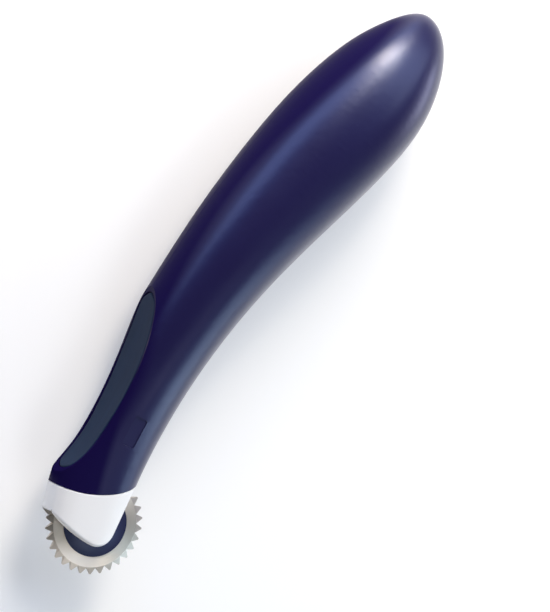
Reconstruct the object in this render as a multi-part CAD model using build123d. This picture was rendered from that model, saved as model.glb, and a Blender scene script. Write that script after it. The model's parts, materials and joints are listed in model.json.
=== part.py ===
from build123d import *
import os
from bisect import bisect
from math import asin, cos, degrees, pi, radians, sin, sqrt

# A dressmaker's tracing wheel: a toothed steel wheel turns in a short fork at the front of a moulded handle.
# Lengths are millimetres and angles degrees. Pieces are modelled about the wheel's centre, with +X towards the
# butt of the handle, +Y to the finger side and +Z along the axle, so the tool lies on its side.

# Toothed disc
wheel_radius = 13.5        # to the tooth tips
tooth_count = 30
tooth_depth = 1.9
tooth_land = 0.3           # flat left on each tip
tooth_turn = 7.6           # direction of one tooth, from +X
disc_thickness = 1.6
tip_thickness = 0.4        # the rim is bevelled to this from both faces

# Hub and axle
hub_radius = 8.75
hub_edge = 0.35            # how far the hub's edge stands proud of the disc
hub_dome = 1.1             # rise of the hub's face from its edge to the boss
hub_bow = 0.22             # how far that face stands out from a cone
boss_radius = 3.6
boss_height = 2.25         # above the disc's face
spigot_radius = 2.7        # centres the disc on the hub
rivet_count = 3
rivet_radius = 0.9
rivet_circle = 5.6
rivet_seat = 0.7           # depth of the rivet's end in the other half
axle_radius = 1.5
axle_seat = 2.0            # depth of the axle's end in each cheek

# Fork
nose_place = (-0.6, 0.5)   # middle of each cheek's rounded end
nose_radius = 5.0
front_radius = 37.0        # arc of the cheek's front edge, seen from the side
front_crest = 2.5          # height over the axle where that edge is foremost
belly_lean = 7.5           # slope of the cheek's belly edge from +X
cheek_thickness = 3.0      # at the nose
cheek_flare = 0.5          # added half width where the collar starts
bridge_fall = 1.1          # fall of the top line at the foremost section, below the slot's radius
bridge_rise = 3.35         # rise of the top line over the bridge, above the slot's radius
edge_round = 0.9           # rounding of the cheeks' outer edges
seam_round = 0.35          # rounding of the fork's edge along the seam

# Seam between fork and handle, an arc seen from the side, given by its ends past the outline
seam_finger_end = (2.1, 20.0)
seam_belly_end = (20.1, -7.0)
seam_bow = 4.2

# Tang and its dowels
tang_length = 20.0         # behind the wheel's slot
tang_root = 6.0            # how far it runs into the fork, ahead of the seam
tang_height = 7.5
tang_middle = 5.4          # height of its middle line over the axle
tang_half_width = 4.2
dowel_radius = 1.25
dowel_half_length = 6.0
dowel_setback = 6.5        # first dowel, behind the wheel's slot
dowel_end = 5.5            # second dowel, from the tang's end

# Handle
collar_half_width = 7.3
neck_half_width = 8.3
neck_place = 30.0
swell_half_width = 14.3
butt_place = 157.9
butt_height = -0.4
butt_flat = 0.25           # root of the last sliver's length, left flat on the butt
wall = 2.4
cavity_start = 45.0
butt_wall = 8.5            # solid length left behind the hollow
post_radius = 3.2
post_setbacks = (82.5, 33.5)  # of the posts that join the halves, from the butt
peg_radius = 1.4
peg_length = 5.0

# Finger rest: a scoop of two tangent arcs seen from the side, slightly hollow across
scoop_low_place = 18.5
scoop_low_height = 14.7
scoop_front_radius = 32.0
scoop_rear_radius = 100.0
scoop_cross_radius = 200.0
rest_thickness = 1.8
rest_lip = 0.9             # handle left showing along the inlay's sides
rest_front_lip = 1.7
rest_rear_lip = 1.3

# Bare panel recess on the neck's upper side
panel_place = (24.8, 8.0)
panel_size = (8.0, 3.8)
panel_corner = 0.5
panel_turn = 7.5
panel_depth = 0.3

# Clearances
wheel_gap = 0.5            # round the tooth tips
side_play = 0.15           # between the hub's bosses and the cheeks
running_gap = 0.05         # between axle and hub
seat_gap = 0.05            # between moulded pieces that locate each other
press_gap = 0.01           # between a pin and the hole that grips it

SECTION_POINTS = 13
BODY_SECTIONS = 32
CAVITY_SECTIONS = 15
REST_POINTS = 8
HALVINGS = 40
FRONT_TURN = 45            # degrees that the front edge's arc is drawn above its crest
FAR = 60.0

disc_half = disc_thickness / 2
hub_half = disc_half + boss_height
slot_half = hub_half + side_play
slot_radius = wheel_radius + wheel_gap
root_radius = wheel_radius - tooth_depth

# Sections of fork and collar: place along X, finger side, belly, half width, squareness (2 is an ellipse)
fork_sections = [
    (-6.0, slot_radius - bridge_fall, -8.0, slot_half + cheek_thickness, 3.0),
    (5.0, slot_radius + bridge_rise, -5.2, slot_half + cheek_thickness + cheek_flare, 2.8),
    (16.0, 20.0, -3.25, collar_half_width, 2.3),
]
# Elliptical sections of the handle: share of the way from neck to butt, finger side, belly, half width
handle_sections = [
    (0.0, 21.9, -1.7, neck_half_width),
    (0.12, 22.85, -1.0, 9.75),
    (0.24, 23.25, -1.65, 11.15),
    (0.4, 23.3, -4.7, 12.85),
    (0.55, 22.25, -9.3, 13.9),
    (0.7, 19.85, -13.75, swell_half_width),
    (0.8, 16.8, -15.0, 13.4),
    (0.875, 13.3, -13.7, 11.45),
    (0.935, 9.05, -10.85, 8.5),
    (1.0, butt_height, butt_height, 0.0),
]
handle_run = butt_place - neck_place
sections = fork_sections + [(neck_place + share * handle_run, *sizes, 2.0) for share, *sizes in handle_sections]


def smooth_curve(knots, values):
    """The natural cubic curve through the values, as a function of the knots' variable."""
    gaps = [b - a for a, b in zip(knots, knots[1:])]
    slopes = [(b - a) / gap for a, b, gap in zip(values, values[1:], gaps)]
    pivots = [2 * (a + b) for a, b in zip(gaps, gaps[1:])]
    loads = [6 * (b - a) for a, b in zip(slopes, slopes[1:])]
    for i in range(1, len(pivots)):
        share = gaps[i] / pivots[i - 1]
        pivots[i] -= share * gaps[i]
        loads[i] -= share * loads[i - 1]
    bends = [0.0] * len(knots)
    for i in reversed(range(len(pivots))):
        bends[i + 1] = (loads[i] - gaps[i + 1] * bends[i + 2]) / pivots[i]

    def value(t):
        i = max(0, min(len(gaps), bisect(knots, t)) - 1)
        a = (knots[i + 1] - t) / gaps[i]
        b = (t - knots[i]) / gaps[i]
        bend = (a**3 - a) * bends[i] + (b**3 - b) * bends[i + 1]
        return a * values[i] + b * values[i + 1] + bend * gaps[i] ** 2 / 6

    return value


def along(x):
    """Square root of the distance to the butt: sizes that are smooth in it give the butt a round end."""
    return sqrt(max(0.0, butt_place - x))


columns = list(zip(*reversed(sections)))
section_curves = [smooth_curve([along(x) for x in columns[0]], column) for column in columns[1:]]


def section_at(x):
    """Finger side, belly, half width and squareness of the smooth outline at a place along X."""
    return [curve(along(x)) for curve in section_curves]


def skin_height(x, y):
    """Height of the skin over the mid-plane at a place seen from the side, 0 outside the outline."""
    top, belly, half_width, squareness = section_at(x)
    level = abs(2 * y - top - belly) / (top - belly)
    return half_width * max(0.0, 1 - level**squareness) ** (1 / squareness)


def half_section(place, top, belly, half_width, squareness):
    """The +Z half of a rounded section: a superellipse arc closed by a line on the mid-plane."""
    middle = (top + belly) / 2
    half_height = (top - belly) / 2
    points = []
    shares = []
    for i in range(SECTION_POINTS):
        share = i / (SECTION_POINTS - 1)
        across, up = sin(pi * share), cos(pi * share)
        y = abs(up) ** (2 / squareness) * (1 if up > 0 else -1)
        z = abs(across) ** (2 / squareness) if 0 < i < SECTION_POINTS - 1 else 0
        points.append(Vector(place, middle + half_height * y, half_width * z))
        shares.append(share)
    speed = pi * half_width  # of an ellipse where it leaves the mid-plane, per unit of share
    ends = [(0, 0, speed), (0, 0, -speed)]
    rim = Edge.make_spline(points, tangents=ends, parameters=shares, scale=False)
    return Face(Wire([rim, Edge.make_line(points[-1], points[0])]))


def half_body():
    """The +Z half of fork and handle as one smooth blank."""
    start, end = along(sections[0][0]), butt_flat
    steps = [start + (end - start) * i / (BODY_SECTIONS - 1) for i in range(BODY_SECTIONS)]
    places = [butt_place - step**2 for step in steps]
    return loft([half_section(x, *section_at(x)) for x in places])


def scoop_floor(x):
    """Height of the scoop's floor on the mid-plane, level with the arc's centre past its reach."""
    radius = scoop_front_radius if x < scoop_low_place else scoop_rear_radius
    reach = min(abs(x - scoop_low_place), radius)
    return scoop_low_height + radius - sqrt(radius**2 - reach**2)


def scoop_end(inside, outside):
    """Place along X where the scoop's floor runs out of the handle, found by halving."""
    for _ in range(HALVINGS):
        middle = (inside + outside) / 2
        if scoop_floor(middle) < section_at(middle)[0]:
            inside = middle
        else:
            outside = middle
    return inside


def half_cavity():
    """Hollow of one handle half, a wall's thickness inside the outline and under the finger rest."""
    rows = []
    length = butt_place - butt_wall - cavity_start
    for i in range(CAVITY_SECTIONS):
        x = cavity_start + length * i / (CAVITY_SECTIONS - 1)
        top, belly, half_width, squareness = section_at(x)
        ceiling = min(top, scoop_floor(x) - rest_thickness)
        rows.append((x, ceiling - wall, belly + wall, half_width - wall, squareness))
    return loft([half_section(*row) for row in rows])


def prism(face, low, high):
    """A sketch on the XY plane carried from one height to another."""
    return Pos(0, 0, low) * extrude(face, amount=high - low)


def disc(radius, low, high, x=0.0, y=0.0):
    return Pos(x, y, (low + high) / 2) * Cylinder(radius, high - low)


def seam_line():
    return SagittaArc(seam_finger_end, seam_belly_end, -seam_bow)


def in_front_of_seam(offset):
    """Everything on the wheel's side of the seam, which is shifted along X by the offset."""
    seam = seam_line()
    ahead = Polyline(
        seam @ 1,
        (seam_belly_end[0], -FAR),
        (-FAR, -FAR),
        (-FAR, FAR),
        (seam_finger_end[0], FAR),
        seam @ 0,
    )
    return Pos(offset, 0, 0) * prism(make_face([seam, ahead]), -FAR, FAR)


def wheel_slot():
    return disc(slot_radius, -slot_half, slot_half)


def tang(gap):
    """The tang's blank from the wheel's centre to its rounded end, with a gap added all round."""
    end = slot_radius + tang_length + gap
    half_height = tang_height / 2 + gap
    bar = Pos(end / 2, tang_middle) * Rectangle(end, 2 * half_height)
    bar = fillet(bar.vertices().group_by(Axis.X)[-1], half_height / 2)
    return prism(bar, 0, tang_half_width + gap)


def dowel_places():
    return [(slot_radius + reach, tang_middle) for reach in (dowel_setback, tang_length - dowel_end)]


def dowels(radius, half_length):
    return [disc(radius, -half_length, half_length, x, y) for x, y in dowel_places()]


def cheek_outline():
    """Side view of the fork: an arc up its front, the round nose and a straight belly edge."""
    nose = Vector(*nose_place)
    reach = front_radius - nose_radius
    dip = asin((front_crest - nose.Y) / reach)
    front_middle = nose + Vector(cos(dip), sin(dip)) * reach
    front_edge = CenterArc(front_middle, front_radius, 180 - FRONT_TURN, FRONT_TURN + degrees(dip))
    nose_edge = CenterArc(nose, nose_radius, 180 + degrees(dip), 90 + belly_lean - degrees(dip))
    belly_end = nose_edge @ 1 + Vector(cos(radians(belly_lean)), sin(radians(belly_lean))) * FAR
    belly_edge = Line(nose_edge @ 1, belly_end)
    behind = Polyline(belly_end, (belly_end.X, (front_edge @ 0).Y), front_edge @ 0)
    return prism(make_face([front_edge, nose_edge, belly_edge, behind]), 0, FAR)


def curved_edges(shape):
    """Edges between the skin and the walls cut into it, off the mid-plane."""
    return [e for e in shape.edges().filter_by(GeomType.BSPLINE) if e.bounding_box().max.Z > slot_half]


def seam_edges(shape):
    """The curved edges on the seam's wall, which is known by its radius."""
    walls = shape.faces().filter_by(GeomType.CYLINDER)
    return curved_edges(min(walls, key=lambda face: abs((face.radius or 0) - seam_line().radius)))


def fork_cheek(blank):
    """The +Z half of the fork, with half of the bridge over the wheel and its tang."""
    cheek = blank & cheek_outline() & in_front_of_seam(-seat_gap)
    seam = seam_edges(cheek)
    cheek = fillet([edge for edge in curved_edges(cheek) if edge not in seam], edge_round)
    cheek = fillet(seam_edges(cheek), seam_round)
    cheek = cheek + (tang(0) - in_front_of_seam(-tang_root))
    cheek = cheek - wheel_slot() - disc(axle_radius + press_gap, 0, slot_half + axle_seat)
    return cheek - dowels(dowel_radius + press_gap, FAR)


def scoop(drop):
    """Cutter for the finger rest: a shallow hollow profile turned about the centre of each arc."""
    low = scoop_low_height - drop
    half = swell_half_width
    edge_rise = scoop_cross_radius - sqrt(scoop_cross_radius**2 - half**2)
    hollow = ThreePointArc((-half, low + edge_rise), (0, low), (half, low + edge_rise))
    above = Polyline(hollow @ 1, (half, low + half), (-half, low + half), hollow @ 0)
    upright = Plane(origin=(scoop_low_place, 0, 0), x_dir=(0, 0, 1), z_dir=(-1, 0, 0))
    profile = upright * make_face([hollow, above])
    cutters = []
    for radius, turn in ((scoop_front_radius, -90), (scoop_rear_radius, 90)):
        axis = Axis((scoop_low_place, scoop_low_height + radius, 0), (0, 0, 1))
        cutters.append(revolve(profile, axis, turn))
    return cutters[0] + cutters[1]


def rest_plug(gap):
    """Upright plug with the inlay's outline seen from the finger side, narrowed by the gap."""
    front = scoop_end(scoop_low_place, sections[0][0]) + rest_front_lip
    rear = scoop_end(scoop_low_place, butt_place) - rest_rear_lip
    side = []
    for i in range(1, REST_POINTS):
        x = front + (rear - front) * (1 - cos(pi * i / REST_POINTS)) / 2
        side.append((x, skin_height(x, scoop_floor(x)) - rest_lip - gap))
    far_side = [(x, -z) for x, z in reversed(side)]
    edge = [(front + gap, 0), *side, (rear - gap, 0), *far_side]
    outline = Edge.make_spline([Vector(x, z) for x, z in edge], periodic=True)
    return extrude(Plane.XZ.rotated((180, 0, 0)) * Face(Wire([outline])), amount=FAR, dir=(0, 1, 0))


def finger_rest():
    return (rest_plug(seat_gap) & scoop(rest_thickness)) - scoop(0)


def handle_half(blank):
    """The +Z half of the handle, as both shells have it."""
    shell = blank - in_front_of_seam(0) - wheel_slot() - tang(seat_gap)
    shell = shell - scoop(0) - (rest_plug(0) & scoop(rest_thickness))
    shell = shell - half_cavity()
    for x, y in post_places():
        shell = shell + (disc(post_radius, 0, FAR, x, y) & blank)
    return shell - dowels(dowel_radius + press_gap, dowel_half_length + seat_gap)


def post_places():
    """Middles of the posts that join the two halves, half-way up the handle."""
    places = [butt_place - setback for setback in post_setbacks]
    return [(x, sum(section_at(x)[:2]) / 2) for x in places]


def pegs(radius, depth):
    return [disc(radius, -depth, depth, x, y) for x, y in post_places()]


def bare_panel():
    """Cutter for the shallow recess on the neck's side, level with the skin round it."""
    x, y = panel_place
    reach = panel_size[1] / 2
    slope_along = (skin_height(x + reach, y) - skin_height(x - reach, y)) / (2 * reach)
    slope_up = (skin_height(x, y + reach) - skin_height(x, y - reach)) / (2 * reach)
    upright = Vector(-slope_along, -slope_up, 1)
    floor = Plane((x, y, skin_height(x, y) - panel_depth), x_dir=(1, 0, slope_along), z_dir=upright)
    plate = floor * Rot(0, 0, panel_turn) * RectangleRounded(*panel_size, panel_corner)
    return extrude(plate, amount=neck_half_width, dir=upright)


def toothed_disc():
    """Steel disc, bevelled at the rim, with pointed teeth and holes for the hub."""
    rim = Polyline(
        (spigot_radius + seat_gap, -disc_half),
        (root_radius, -disc_half),
        (wheel_radius, -tip_thickness / 2),
        (wheel_radius, tip_thickness / 2),
        (root_radius, disc_half),
        (spigot_radius + seat_gap, disc_half),
        close=True,
    )
    plate = revolve(Plane.XZ * make_face(rim), Axis.Z)
    half_pitch = pi * wheel_radius / tooth_count
    overrun = 2 * tooth_depth
    mouth = (half_pitch - tooth_land / 2) * overrun / tooth_depth
    notch = Polyline((root_radius, 0), (root_radius + overrun, mouth), (root_radius + overrun, -mouth), close=True)
    notch = prism(make_face(notch), -disc_thickness, disc_thickness)
    step = 360 / tooth_count
    notches = [Rot(0, 0, tooth_turn + (i + 0.5) * step) * notch for i in range(tooth_count)]
    return plate - notches - rivets(rivet_radius + seat_gap, -disc_thickness, disc_thickness)


def rivets(radius, low, high):
    turns = [2 * pi * i / rivet_count for i in range(rivet_count)]
    return [disc(radius, low, high, rivet_circle * cos(a), rivet_circle * sin(a)) for a in turns]


def hub_half_solid():
    """The +Z half of the hub: a domed flange against the disc, a boss towards the cheek and half the spigot."""
    edge_top = disc_half + hub_edge
    bore = axle_radius + running_gap
    dome = SagittaArc((hub_radius, edge_top), (boss_radius, edge_top + hub_dome), hub_bow)
    rest = Polyline(
        dome @ 1,
        (boss_radius, hub_half),
        (bore, hub_half),
        (bore, 0),
        (spigot_radius, 0),
        (spigot_radius, disc_half),
        (hub_radius, disc_half),
        dome @ 0,
    )
    return revolve(Plane.XZ * make_face([dome, rest]), Axis.Z)


def build():
    blank = half_body()
    shell = handle_half(blank)
    cheek = fork_cheek(blank)
    hub = hub_half_solid()
    rivet_end = -disc_half - rivet_seat
    return {
        "handle_shell_upper": shell - bare_panel() + pegs(peg_radius, peg_length),
        "handle_shell_lower": mirror(shell - pegs(peg_radius + seat_gap, peg_length + seat_gap), Plane.XY),
        "finger_rest": finger_rest(),
        "fork_cheek_upper": cheek,
        "fork_cheek_lower": mirror(cheek, Plane.XY),
        "tang_pins": Compound(dowels(dowel_radius, dowel_half_length)),
        "axle_pin": disc(axle_radius, -slot_half - axle_seat, slot_half + axle_seat),
        "toothed_disc": toothed_disc(),
        "hub_upper": hub + rivets(rivet_radius, rivet_end, disc_half + hub_edge),
        "hub_lower": mirror(hub, Plane.XY) - rivets(rivet_radius + seat_gap, rivet_end - seat_gap, 0),
    }


pieces = build()
whole = Compound(list(pieces.values())).bounding_box()
to_base = Pos(-(whole.min.X + whole.max.X) / 2, -(whole.min.Y + whole.max.Y) / 2, -whole.min.Z)
os.makedirs("parts", exist_ok=True)
for name, piece in pieces.items():
    export_step(to_base * piece, f"parts/{name}.step")
print("size", whole.size, "wheel centre", to_base.position)
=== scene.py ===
# %% [markdown]
# # A dressmaker's tracing wheel
# The tool lies on white paper. Its solids come from the CAD model, already at their real size and place, so
# this file dresses them: it gives each piece the finish of the real one, lays the soft inlay into its
# scoop, and sets up the paper, the lamps and the camera.

# %% Load the solids
import json

import bmesh
import bpy
import numpy as np
from mathutils import Matrix, Vector


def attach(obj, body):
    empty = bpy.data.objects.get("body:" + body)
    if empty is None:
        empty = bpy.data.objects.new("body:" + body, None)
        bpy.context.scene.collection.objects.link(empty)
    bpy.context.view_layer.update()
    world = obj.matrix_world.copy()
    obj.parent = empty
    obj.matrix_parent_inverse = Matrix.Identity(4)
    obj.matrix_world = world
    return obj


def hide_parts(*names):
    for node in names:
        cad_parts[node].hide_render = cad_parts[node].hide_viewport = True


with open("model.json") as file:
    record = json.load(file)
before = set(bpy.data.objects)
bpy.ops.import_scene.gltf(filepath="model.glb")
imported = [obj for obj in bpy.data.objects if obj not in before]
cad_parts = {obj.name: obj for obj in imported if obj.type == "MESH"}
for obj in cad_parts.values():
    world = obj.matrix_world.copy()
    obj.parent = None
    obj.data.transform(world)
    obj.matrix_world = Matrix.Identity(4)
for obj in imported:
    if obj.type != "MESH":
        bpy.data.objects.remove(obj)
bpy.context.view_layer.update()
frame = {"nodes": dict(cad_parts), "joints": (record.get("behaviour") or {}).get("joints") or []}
nodes = frame["nodes"]
wheel_centre = np.array(frame["joints"][0]["pos_m"])
print("solids", sorted(nodes), "wheel centre", wheel_centre)

# %% [markdown]
# ## Colours and nodes
# A colour here is an sRGB hex value, but a shader adds up light, so it wants linear numbers. The
# second helper adds one shader node with its settings, its numbers and the links into it, which keeps each
# material short.

# %% Helpers for materials
MM = 0.001


def linear(hex_colour):
    """sRGB hex to linear RGBA: below 0.04045 a straight line, above it a power of 2.4."""
    srgb = np.array([int(hex_colour[i : i + 2], 16) for i in (1, 3, 5)]) / 255
    rgb = np.where(srgb <= 0.04045, srgb / 12.92, ((srgb + 0.055) / 1.055) ** 2.4)
    return (*rgb.tolist(), 1.0)


def add(tree, kind, values=None, links=None, **settings):
    """Adds one node: settings are its own, values its sockets' numbers, links the sources of its inputs."""
    node = tree.nodes.new(kind)
    for name, value in settings.items():
        setattr(node, name, value)
    for socket, value in (values or {}).items():
        node.inputs[socket].default_value = value
    for socket, source in (links or {}).items():
        tree.links.new(source, node.inputs[socket])
    return node


def blank_material(name):
    """A material with an empty node tree."""
    material = bpy.data.materials.new(name)
    material.use_nodes = True
    material.node_tree.nodes.clear()
    return material, material.node_tree


print("half grey is", round(linear("#808080")[0], 3), "in linear light")

# %% [markdown]
# ## Patterns that the finishes share
# Every moulded piece carries the fine grain of its mould, which is noise used as bump. Two finishes change
# with the distance from an upright line: the steel about its axle, and the handle about the middles of two
# arcs. Both patterns read the solid's own coordinates, so nothing slides when a piece moves.

# %% Shared patterns
noise_low, noise_high = 0.3, 0.7  # noise hardly leaves this range


def fine_grain(tree, place, size_mm, strength, depth_mm):
    """Grain as bump: noise that changes over one grain's size, its height scaled by depth and strength."""
    grain = add(
        tree,
        "ShaderNodeTexNoise",
        {"Scale": 1 / (size_mm * MM), "Detail": 2.0},
        {"Vector": place.outputs["Object"]},
    )
    return add(
        tree,
        "ShaderNodeBump",
        {"Strength": strength, "Distance": depth_mm * MM},
        {"Height": grain.outputs["Fac"]},
    )


def distance_from_line(tree, place, foot):
    """Distance from the upright line through foot: the length of the offset from it, without its height."""
    offset = add(
        tree,
        "ShaderNodeVectorMath",
        {1: foot.tolist()},
        {0: place.outputs["Object"]},
        operation="SUBTRACT",
    )
    flat = add(
        tree,
        "ShaderNodeVectorMath",
        {1: (1.0, 1.0, 0.0)},
        {0: offset.outputs["Vector"]},
        operation="MULTIPLY",
    )
    return add(tree, "ShaderNodeVectorMath", links={0: flat.outputs["Vector"]}, operation="LENGTH")


print("noise is used from", noise_low, "to", noise_high)

# %% [markdown]
# ## Handle, hub and fork: satin ABS
# These are moulded ABS, dyed through: navy for the handle and hub, white for the fork. The moulds were
# spark-eroded to a fine satin grain, so lamps show as wide, soft glows and never as mirror images. The dye
# tints the wide glow, while the smoother skin over it gives a smaller, whiter one, made here with the
# shader's coat. Real mouldings aren't even: the gloss wanders a little where hands and the mould have
# polished the grain, and the grain itself breaks up the edge of each glow. Noise gives both.

# %% Satin ABS
grain_mm = 0.5  # the real grain is finer, but this is the finest that shows
grain_strength, grain_depth_mm = 0.15, 0.02
polish_mm = 14.0  # from one polished place to the next
polish_swing = 0.03
plastic_ior = 1.5
skin_roughness = 0.3


def satin_abs(name, colour, tint, roughness, specular, skin):
    """Moulded ABS: an even dye, a fine grain as bump, slow changes of gloss and a smoother skin on top."""
    material, tree = blank_material(name)
    place = add(tree, "ShaderNodeTexCoord")
    polish = add(
        tree,
        "ShaderNodeTexNoise",
        {"Scale": 1 / (polish_mm * MM), "Detail": 3.0, "Roughness": 0.6},
        {"Vector": place.outputs["Object"]},
    )
    gloss = add(
        tree,
        "ShaderNodeMapRange",
        {
            "From Min": noise_low,
            "From Max": noise_high,
            "To Min": roughness - polish_swing,
            "To Max": roughness + polish_swing,
        },
        {"Value": polish.outputs["Fac"]},
    )
    bump = fine_grain(tree, place, grain_mm, grain_strength, grain_depth_mm)
    shader = add(
        tree,
        "ShaderNodeBsdfPrincipled",
        {
            "Base Color": linear(colour),
            "IOR": plastic_ior,
            "Specular IOR Level": specular,
            "Specular Tint": linear(tint),
            "Coat Weight": skin,
            "Coat Roughness": skin_roughness,
        },
        {
            "Roughness": gloss.outputs["Result"],
            "Normal": bump.outputs["Normal"],
            "Coat Normal": bump.outputs["Normal"],
        },
    )
    add(tree, "ShaderNodeOutputMaterial", links={"Surface": shader.outputs["BSDF"]})
    return material


navy_gloss, navy_skin = 0.42, 0.76
navy_abs = satin_abs(
    "navy_satin_abs", "#150e39", "#84a8ff", roughness=0.38, specular=navy_gloss, skin=navy_skin
)
hub_abs = satin_abs("hub_satin_abs", "#1a1434", "#a8c4ff", roughness=0.4, specular=0.7, skin=0.2)
white_abs = satin_abs("white_satin_abs", "#edecea", "#ffffff", roughness=0.42, specular=0.4, skin=0.0)
print("satin plastics", navy_abs.name, hub_abs.name, white_abs.name)

# %% [markdown]
# ## The handle's finger side: painted shade
# The handle's finger side is dark, with little of the paper's white in it. Dark surroundings on that side
# would do that. Here the gloss is taken away there instead, which is painted shade, not a real duller
# surface. Seen along the axle, the part without gloss lies outside a long arc over the handle and inside a
# short arc round the scoop, where no gloss is left. The distance from each arc's middle says where the
# painted shade starts.

# %% Painted shade on the finger side
# Painted shade: beyond these arcs the gloss is taken away, darkening the finger side as dark surroundings
# would.
body_arc_middle_mm = (79.0, -165.0)  # from the wheel's centre
body_arc_mm = (184.8, 187.4)  # the dulling starts at the first radius and is full at the second
scoop_arc_middle_mm = (22.0, 76.0)
scoop_arc_mm = (65.0, 61.0)
painted_shade_gloss, painted_shade_scoop_gloss = 0.05, 0.0


def arc_fade(tree, place, middle_mm, arc_mm):
    """Rises smoothly from 0 to 1 between two distances from the upright line through the arc's middle."""
    foot = wheel_centre + np.array([*middle_mm, 0.0]) * MM
    distance = distance_from_line(tree, place, foot)
    fade = add(
        tree,
        "ShaderNodeMapRange",
        {"From Min": arc_mm[0] * MM, "From Max": arc_mm[1] * MM},
        {"Value": distance.outputs["Value"]},
        interpolation_type="SMOOTHSTEP",
    )
    return fade.outputs["Result"]


def painted_shade_finger_side(material, gloss, skin):
    """Painted shade: lowers the gloss beyond the body's arc, further inside the scoop's, and fades the skin
    in both.
    """
    tree = material.node_tree
    place = add(tree, "ShaderNodeTexCoord")
    body_fade = arc_fade(tree, place, body_arc_middle_mm, body_arc_mm)
    scoop_fade = arc_fade(tree, place, scoop_arc_middle_mm, scoop_arc_mm)
    body_level = add(
        tree,
        "ShaderNodeMapRange",
        {"To Min": gloss, "To Max": painted_shade_gloss},
        {"Value": body_fade},
    )
    level = add(
        tree,
        "ShaderNodeMapRange",
        {"To Max": painted_shade_scoop_gloss},
        {"Value": scoop_fade, "To Min": body_level.outputs["Result"]},
    )
    painted_shade_share = add(tree, "ShaderNodeMath", links={0: body_fade, 1: scoop_fade}, operation="MAXIMUM")
    skin_left = add(
        tree,
        "ShaderNodeMapRange",
        {"To Min": skin, "To Max": 0.0},
        {"Value": painted_shade_share.outputs["Value"]},
    )
    shader = next(node for node in tree.nodes if node.type == "BSDF_PRINCIPLED")
    # Painted shade: less gloss and skin on the finger side, so it shows little of the paper's white.
    tree.links.new(level.outputs["Result"], shader.inputs["Specular IOR Level"])
    tree.links.new(skin_left.outputs["Result"], shader.inputs["Coat Weight"])


# Painted shade: takes the gloss off the handle's finger side.
painted_shade_finger_side(navy_abs, navy_gloss, navy_skin)
print("dull beyond", body_arc_mm, "mm and within", scoop_arc_mm, "mm")

# %% [markdown]
# ## Wheel and pins: ground steel
# The disc is stamped from steel strip and its faces are ground on a turning table, which leaves fine rings
# about the axle. Such a grain stretches a lamp's glow across the rings, so the ring is bright on one side
# and grey on another. The shader's anisotropy along a tangent round the axle does the same. The teeth are
# cut after grinding and are left as the cutter made them, so beyond their roots the steel is a little
# darker.

# %% Ground steel
ring_mm = 0.35  # spacing of the grinding rings, drawn as coarse as they need to show
ring_swing = 0.06
ring_strength, ring_depth_mm = 0.2, 0.01
tooth_root_mm = 11.6  # the teeth start at this radius
root_fade_mm = 0.1
across_rings = 0.25  # in turns, from along the rings to across them


def ground_steel(name, colour, cut_colour, roughness, anisotropy):
    """Steel with rings, as noise on the distance from the axle alone, and darker cut teeth further out."""
    material, tree = blank_material(name)
    place = add(tree, "ShaderNodeTexCoord")
    radius = distance_from_line(tree, place, wheel_centre)
    rings = add(
        tree,
        "ShaderNodeTexNoise",
        {"Scale": 1 / (ring_mm * MM), "Detail": 3.0, "Roughness": 0.7},
        {"W": radius.outputs["Value"]},
        noise_dimensions="1D",
    )
    gloss = add(
        tree,
        "ShaderNodeMapRange",
        {
            "From Min": noise_low,
            "From Max": noise_high,
            "To Min": roughness - ring_swing,
            "To Max": roughness + ring_swing,
        },
        {"Value": rings.outputs["Fac"]},
    )
    bump = add(
        tree,
        "ShaderNodeBump",
        {"Strength": ring_strength, "Distance": ring_depth_mm * MM},
        {"Height": rings.outputs["Fac"]},
    )
    cut = add(
        tree,
        "ShaderNodeMapRange",
        {"From Min": (tooth_root_mm - root_fade_mm) * MM, "From Max": (tooth_root_mm + root_fade_mm) * MM},
        {"Value": radius.outputs["Value"]},
    )
    shade = add(
        tree,
        "ShaderNodeMix",
        {"A": linear(colour), "B": linear(cut_colour)},
        {"Factor": cut.outputs["Result"]},
        data_type="RGBA",
    )
    tangent = add(tree, "ShaderNodeTangent", direction_type="RADIAL", axis="Z")
    shader = add(
        tree,
        "ShaderNodeBsdfPrincipled",
        {"Metallic": 1.0, "Anisotropic": anisotropy, "Anisotropic Rotation": across_rings},
        {
            "Base Color": shade.outputs["Result"],
            "Roughness": gloss.outputs["Result"],
            "Normal": bump.outputs["Normal"],
            "Tangent": tangent.outputs["Tangent"],
        },
    )
    add(tree, "ShaderNodeOutputMaterial", links={"Surface": shader.outputs["BSDF"]})
    return material


steel = ground_steel("ground_steel", "#f8f0e4", "#c8c0b6", roughness=0.46, anisotropy=0.7)
print("steel", steel.name)

# %% [markdown]
# ## Finger rest: soft rubber
# The inlay is a thermoplastic rubber, moulded against a dull mould, so it has almost no gloss. Fingers
# leave it streaked along its length, which shows as faint lighter and darker bands.

# %% Soft rubber
streak_mm = (30.0, 2.5)  # length and width
pebble_mm = 0.4  # finer on the real one, this is the finest that shows
pebble_strength, pebble_depth_mm = 0.25, 0.03
rubber_ior = 1.5
rubber_roughness, rubber_gloss = 0.65, 0.12


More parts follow.
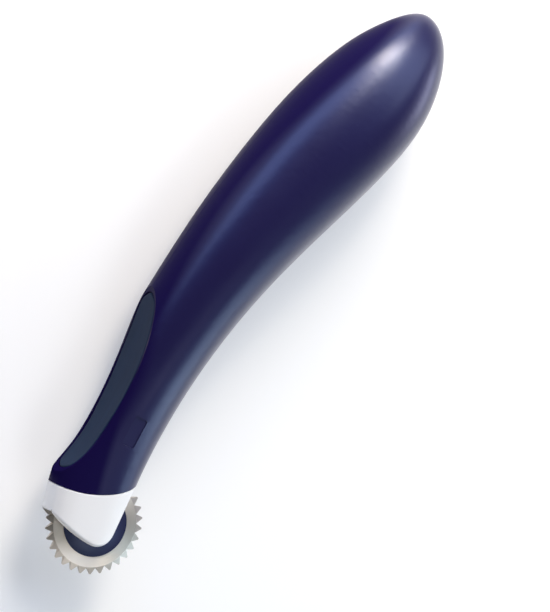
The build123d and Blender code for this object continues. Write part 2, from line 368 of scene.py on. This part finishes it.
def soft_rubber(name, dark, light):
    """Dull rubber: two shades mixed by noise drawn out along the tool, a fine pebble as bump, low gloss."""
    material, tree = blank_material(name)
    place = add(tree, "ShaderNodeTexCoord")
    per_length, per_width = 1 / (streak_mm[0] * MM), 1 / (streak_mm[1] * MM)
    drawn_out = add(
        tree,
        "ShaderNodeMapping",
        {"Scale": (per_length, per_width, per_width)},
        {"Vector": place.outputs["Object"]},
    )
    streaks = add(
        tree,
        "ShaderNodeTexNoise",
        {"Scale": 1.0, "Detail": 3.0, "Roughness": 0.55},
        {"Vector": drawn_out.outputs["Vector"]},
    )
    colour = add(
        tree,
        "ShaderNodeMix",
        {"A": linear(dark), "B": linear(light)},
        {"Factor": streaks.outputs["Fac"]},
        data_type="RGBA",
    )
    bump = fine_grain(tree, place, pebble_mm, pebble_strength, pebble_depth_mm)
    shader = add(
        tree,
        "ShaderNodeBsdfPrincipled",
        {"Roughness": rubber_roughness, "IOR": rubber_ior, "Specular IOR Level": rubber_gloss},
        {"Base Color": colour.outputs["Result"], "Normal": bump.outputs["Normal"]},
    )
    add(tree, "ShaderNodeOutputMaterial", links={"Surface": shader.outputs["BSDF"]})
    return material


rubber = soft_rubber("slate_soft_rubber", "#112036", "#192c47")
print("rubber", rubber.name)

# %% [markdown]
# ## Dress the solids
# Each solid keeps its shape and gets the finish of the real piece. The pins are hidden inside, but they
# show once the tool is taken apart, so they are dressed too.

# %% Dress the solids
finishes = {
    "handle_shell_upper": navy_abs,
    "handle_shell_lower": navy_abs,
    "finger_rest": rubber,
    "fork_cheek_upper": white_abs,
    "fork_cheek_lower": white_abs,
    "tang_pins": steel,
    "axle_pin": steel,
    "toothed_disc": steel,
    "hub_upper": hub_abs,
    "hub_lower": hub_abs,
}
for node, material in finishes.items():
    nodes[node].data.materials.clear()
    nodes[node].data.materials.append(material)
print("dressed", len(finishes), "solids")

# %% [markdown]
# ## The inlay's outline
# In the CAD model the finger rest is a plain plug with sharp edges. The real one is soft, so its rim rolls
# over before it meets the handle, and it is made anew here. Its outline could be drawn again, but reading
# it off the solid keeps the two alike.

# %% Outline of the inlay
ring_points = 240
kept_waves = 14
rim_reach = 0.8  # points nearer to the middle than this share of the way are not on the rim


def plug_outline(node, count, waves):
    """Points round a plug seen from the finger side, in mm from the wheel's centre.

    Each point of the solid has a direction from the middle. The outline's distance in a direction is the
    largest one found there, with both sides averaged, smoothed by keeping the first few waves round it.
    """
    mesh = nodes[node].data
    flat = np.empty(3 * len(mesh.vertices))
    mesh.vertices.foreach_get("co", flat)
    tool_mm = (flat.reshape(-1, 3) - wheel_centre) / MM
    x, z = tool_mm[:, 0], tool_mm[:, 2]
    middle = (x.min() + x.max()) / 2
    half_length, half_width = (x.max() - x.min()) / 2, z.max()
    u, v = (x - middle) / half_length, z / half_width
    bins = np.round(np.arctan2(v, u) / (2 * np.pi) * count).astype(int) % count
    reach = np.zeros(count)
    np.maximum.at(reach, bins, np.hypot(u, v))
    found = np.flatnonzero(reach > rim_reach)
    reach = np.interp(np.arange(count), found, reach[found], period=count)
    reach = (reach + np.roll(reach[::-1], 1)) / 2
    spectrum = np.fft.rfft(reach)
    spectrum[waves:] = 0
    reach = np.fft.irfft(spectrum, count)
    turn = 2 * np.pi * np.arange(count) / count
    return middle + half_length * reach * np.cos(turn), half_width * reach * np.sin(turn)


outline_x, outline_z = plug_outline("finger_rest", ring_points, kept_waves)
print("inlay", round(np.ptp(outline_x), 1), "by", round(np.ptp(outline_z), 1), "mm")

# %% [markdown]
# ## The inlay's height
# The scoop is cut by two arcs along the tool, which meet at its lowest point, and it is slightly hollow
# across. The top of the inlay has the same height, worked out by the same arcs, so the piece lies flush in
# its seat.

# %% Height of the scoop
scoop_low = (18.5, 14.7)  # place along the tool and height, as in the CAD model
scoop_radii = (32.0, 100.0)  # of its front and rear arcs
scoop_cross_radius = 200.0


def scoop_height(x, z):
    """Height of the scoop: an arc about a centre above its low point, raised across by a wide arc."""
    radius = np.where(x < scoop_low[0], scoop_radii[0], scoop_radii[1])
    across = scoop_cross_radius - np.sqrt(scoop_cross_radius**2 - z**2)
    return scoop_low[1] + radius - np.sqrt((radius - across) ** 2 - (x - scoop_low[0]) ** 2)


edge_height = scoop_height(outline_x, outline_z)
print("scoop", round(edge_height.min(), 2), "to", round(edge_height.max(), 2), "mm high round the inlay")

# %% [markdown]
# ## The inlay's surface
# Each ring of the surface is the outline moved inwards. The rings run out along the top from a line in the
# middle, round the rim by a quarter circle, down the side and back underneath, so the surface closes.

# %% Rings of the inlay
inlay_thickness = 1.8
rim_radius = 0.45
rim_turns = np.radians([0, 18, 36, 54, 72, 90])
seat_gap = 0.03
field_inset = 1.5  # the field inside this ring is filled from the middle line outwards
field_shares = np.array([0.0, 0.25, 0.5, 0.75])
edge_insets = (field_inset, 1.0, 0.7)


def inset(distance):
    """The outline moved inwards along its own normals."""
    along_x = np.roll(outline_x, -1) - np.roll(outline_x, 1)
    along_z = np.roll(outline_z, -1) - np.roll(outline_z, 1)
    length = np.hypot(along_x, along_z)
    return outline_x - distance * along_z / length, outline_z + distance * along_x / length


def inlay_rings():
    """Rings of the closed surface: shares of the field, steps to the edge, turns of the rim, underside."""
    field_x, field_z = inset(field_inset)
    reach = (np.ptp(field_x) - np.ptp(field_z)) / 2
    middle = (field_x.max() + field_x.min()) / 2
    spine_x = np.clip(field_x, middle - reach, middle + reach)
    rings = []
    for share in field_shares:
        x, z = spine_x + share * (field_x - spine_x), share * field_z
        rings.append((x, scoop_height(x, z), z))
    for distance in edge_insets:
        x, z = inset(distance)
        rings.append((x, scoop_height(x, z), z))
    for turn in rim_turns:
        x, z = inset(seat_gap + rim_radius * (1 - np.sin(turn)))
        rings.append((x, scoop_height(x, z) - rim_radius * (1 - np.cos(turn)), z))
    x, z = inset(seat_gap)
    rings.append((x, scoop_height(x, z) - inlay_thickness, z))
    for share in field_shares[::-1]:
        x, z = spine_x + share * (field_x - spine_x), share * field_z
        rings.append((x, scoop_height(x, z) - inlay_thickness, z))
    return np.array(rings).transpose(0, 2, 1)


rings = inlay_rings()
print("inlay rings", rings.shape)

# %% [markdown]
# ## The inlay's mesh
# The rings become a mesh of four-sided faces between each ring and the next. The first and last rings fold
# onto the middle line, so their doubled points are merged, which closes the surface there.

# %% Mesh of the inlay
merge_distance, sliver_length = 1e-6, 1e-7
ring_count = len(rings)
points = wheel_centre + rings.reshape(-1, 3) * MM
row, column = np.meshgrid(np.arange(ring_count - 1), np.arange(ring_points), indexing="ij")
next_column = (column + 1) % ring_points
corners = [row * ring_points + column, row * ring_points + next_column]
corners += [(row + 1) * ring_points + next_column, (row + 1) * ring_points + column]
quads = np.stack(corners, axis=-1).reshape(-1, 4)
inlay_mesh = bpy.data.meshes.new("rubber_inlay")
inlay_mesh.from_pydata(points.tolist(), [], quads.tolist())
work = bmesh.new()
work.from_mesh(inlay_mesh)
bmesh.ops.remove_doubles(work, verts=work.verts, dist=merge_distance)
bmesh.ops.dissolve_degenerate(work, edges=work.edges, dist=sliver_length)
bmesh.ops.recalc_face_normals(work, faces=work.faces)
work.to_mesh(inlay_mesh)
work.free()
inlay_mesh.shade_smooth()
inlay_mesh.materials.append(rubber)
inlay = bpy.data.objects.new("rubber_inlay", inlay_mesh)
bpy.context.scene.collection.objects.link(inlay)
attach(inlay, "handle")
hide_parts("finger_rest")
print("inlay faces", len(inlay_mesh.polygons))

# %% [markdown]
# ## Paper
# The tool lies on a large sheet of white paper. The sheet is a hair lower than the tool, so that no two
# faces share a plane.

# %% Sheet of paper
paper_size = 3.0
paper_drop_mm = 0.05
paper_mesh = bpy.data.meshes.new("paper")
half = paper_size / 2
paper_corners = [(-half, -half, 0), (half, -half, 0), (half, half, 0), (-half, half, 0)]
paper_mesh.from_pydata(paper_corners, [], [(0, 1, 2, 3)])
paper = bpy.data.objects.new("paper", paper_mesh)
paper.location.z = -paper_drop_mm * MM
bpy.context.scene.collection.objects.link(paper)
print("paper", paper_size, "m square")

# %% [markdown]
# ## The paper's white
# The camera and every glossy surface see the paper as white, apart from the tool's shadow. A share of the
# sheet's own glow for those rays lifts it to white without more light on the tool.

# %% White paper
paper_glow = 0.25
paper_white, tree = blank_material("white_paper")
rays = add(tree, "ShaderNodeLightPath")
seen = add(
    tree,
    "ShaderNodeMath",
    links={0: rays.outputs["Is Camera Ray"], 1: rays.outputs["Is Glossy Ray"]},
    operation="MAXIMUM",
)
seen = add(
    tree,
    "ShaderNodeMath",
    links={0: seen.outputs["Value"], 1: rays.outputs["Is Transmission Ray"]},
    operation="MAXIMUM",
)
glow_share = add(tree, "ShaderNodeMath", {1: paper_glow}, {0: seen.outputs["Value"]}, operation="MULTIPLY")
sheet = add(tree, "ShaderNodeBsdfDiffuse", {"Color": linear("#fbfbfb")})
glow = add(tree, "ShaderNodeEmission", {"Color": linear("#ffffff"), "Strength": 1.0})
mixed = add(
    tree,
    "ShaderNodeMixShader",
    links={0: glow_share.outputs["Value"], 1: sheet.outputs["BSDF"], 2: glow.outputs["Emission"]},
)
add(tree, "ShaderNodeOutputMaterial", links={"Surface": mixed.outputs["Shader"]})
paper_mesh.materials.append(paper_white)
print("paper glows by", paper_glow)

# %% [markdown]
# ## Room
# The room is pale near the level of the table and dark overhead, as a studio with white walls and a dark
# ceiling is. The dark ceiling is what keeps the middle of the handle dark between its two glows.

# %% Room
wall_level, ceiling_level = 0.8, 0.04
ceiling_start = 0.45  # height of a direction, 0 being level and 1 straight up
room = bpy.data.worlds.new("room")
bpy.context.scene.world = room
room.use_nodes = True
room.node_tree.nodes.clear()
tree = room.node_tree
direction = add(tree, "ShaderNodeTexCoord")
height = add(tree, "ShaderNodeSeparateXYZ", links={"Vector": direction.outputs["Generated"]})
walls = add(
    tree,
    "ShaderNodeMapRange",
    {"From Min": 0.0, "From Max": ceiling_start, "To Min": wall_level, "To Max": ceiling_level},
    {"Value": height.outputs["Z"]},
)
air = add(
    tree,
    "ShaderNodeBackground",
    {"Color": linear("#ffffff")},
    {"Strength": walls.outputs["Result"]},
)
add(tree, "ShaderNodeOutputWorld", links={"Surface": air.outputs["Background"]})
print("room", wall_level, "at the walls", ceiling_level, "overhead")

# %% [markdown]
# ## Lamps
# Area lamps stand in for a studio's softboxes, because a lamp's size is what makes a glow or a shadow soft.
# A glossy point shows the lamp that lies in its mirrored direction, so each lamp stands where its glow is
# wanted. The key stands past the butt and throws the shadow to the lower left. A small, warm lamp near the
# butt makes its hot spot, a low one carries that to the tip, and a long, cool one on the finger side draws
# it down the handle. The back lamp lifts the belly side of the butt and one half of the steel ring, and the
# front lamp the other half. On the belly side, a low lamp draws the thin rim of the butt. A small one
# stands close to the neck, so that only the neck shows it.

# %% Softboxes
lit_point = Vector((0.0, 0.0, 0.014))  # the middle of the tool


def softbox(name, towards, distance, size, watts, light="#ffffff", long_way=(0, 0, 1)):
    """A rectangular lamp that faces the tool from the given direction, its first side along long_way."""
    lamp = bpy.data.lights.new(name, "AREA")
    lamp.shape = "RECTANGLE"
    lamp.size, lamp.size_y = size
    lamp.energy = watts
    lamp.color = linear(light)[:3]
    holder = bpy.data.objects.new(name, lamp)
    away = Vector(towards).normalized()
    side = (Vector(long_way) - away * away.dot(Vector(long_way))).normalized()
    turn = Matrix([side, away.cross(side), away]).transposed().to_4x4()
    holder.matrix_world = Matrix.Translation(lit_point + away * distance) @ turn
    bpy.context.scene.collection.objects.link(holder)


# Direction from the tool, distance and sides in metres, watts, colour, direction of the first side
warm, cool = "#fffaf4", "#b4ccff"
softbox("key_softbox", (0.71, 0.29, 0.64), 1.1, (0.45, 0.45), 6.4, warm)
softbox("glow_softbox", (0.81, 0.36, 0.47), 0.36, (0.128, 0.075), 0.92, "#fff0dc", (0, -0.77, 0.64))
softbox("back_softbox", (0.66, -0.28, 0.7), 1.0, (0.8, 0.6), 4.0, "#dce8ff", (0, 1, 0))
softbox("long_softbox", (0.33, 0.78, 0.5), 0.9, (0.62, 0.3), 2.1, cool, (0.48, -0.27, 0.21))
softbox("belly_softbox", (-0.25, -0.88, 0.4), 0.3, (0.1, 0.16), 0.2, "#d4eeff", (1, 0, 0))
softbox("rim_softbox", (0.42, -0.89, 0.14), 0.9, (0.2, 0.35), 1.1, "#e6e6ff")
softbox("front_softbox", (-0.45, -0.4, 0.8), 0.9, (0.35, 0.35), 1.2)
softbox("end_softbox", (0.92, 0.36, 0.16), 1.0, (0.3, 0.4), 0.8, cool)
print("lamps", [lamp.name for lamp in bpy.data.lights])

# %% [markdown]
# ## Camera
# The photo looks down on the tool from its finger side, with the camera rolled so that the handle runs from
# the bottom left to the top right. A long lens keeps the lines nearly parallel.

# %% Camera
view_azimuth, view_elevation, view_roll = np.radians([190.6, 64.5, 113.75])
picture_middle_mm = (46.9, 56.1)  # right of the wheel's centre and above it, in the picture
picture_height_mm = 158.3
camera_distance = 2.5
sensor_mm = 36.0

back = np.array(
    [
        np.sin(view_azimuth) * np.cos(view_elevation),
        -np.cos(view_azimuth) * np.cos(view_elevation),
        np.sin(view_elevation),
    ]
)
level = np.array([np.cos(view_azimuth), np.sin(view_azimuth), 0.0])
right = np.cos(view_roll) * level + np.sin(view_roll) * np.cross(back, level)
up = np.cross(back, right)
looked_at = wheel_centre + (picture_middle_mm[0] * right + picture_middle_mm[1] * up) * MM

lens = bpy.data.cameras.new("camera")
lens.sensor_width = sensor_mm
lens.lens = sensor_mm * camera_distance / (picture_height_mm * MM)
camera = bpy.data.objects.new("camera", lens)
turn = Matrix([right, up, back]).transposed().to_4x4()
camera.matrix_world = Matrix.Translation(Vector(looked_at + back * camera_distance)) @ turn
bpy.context.scene.collection.objects.link(camera)
bpy.context.scene.camera = camera
bpy.context.scene.view_settings.view_transform = "Standard"
print("lens", round(lens.lens, 1), "mm, looking at", looked_at)
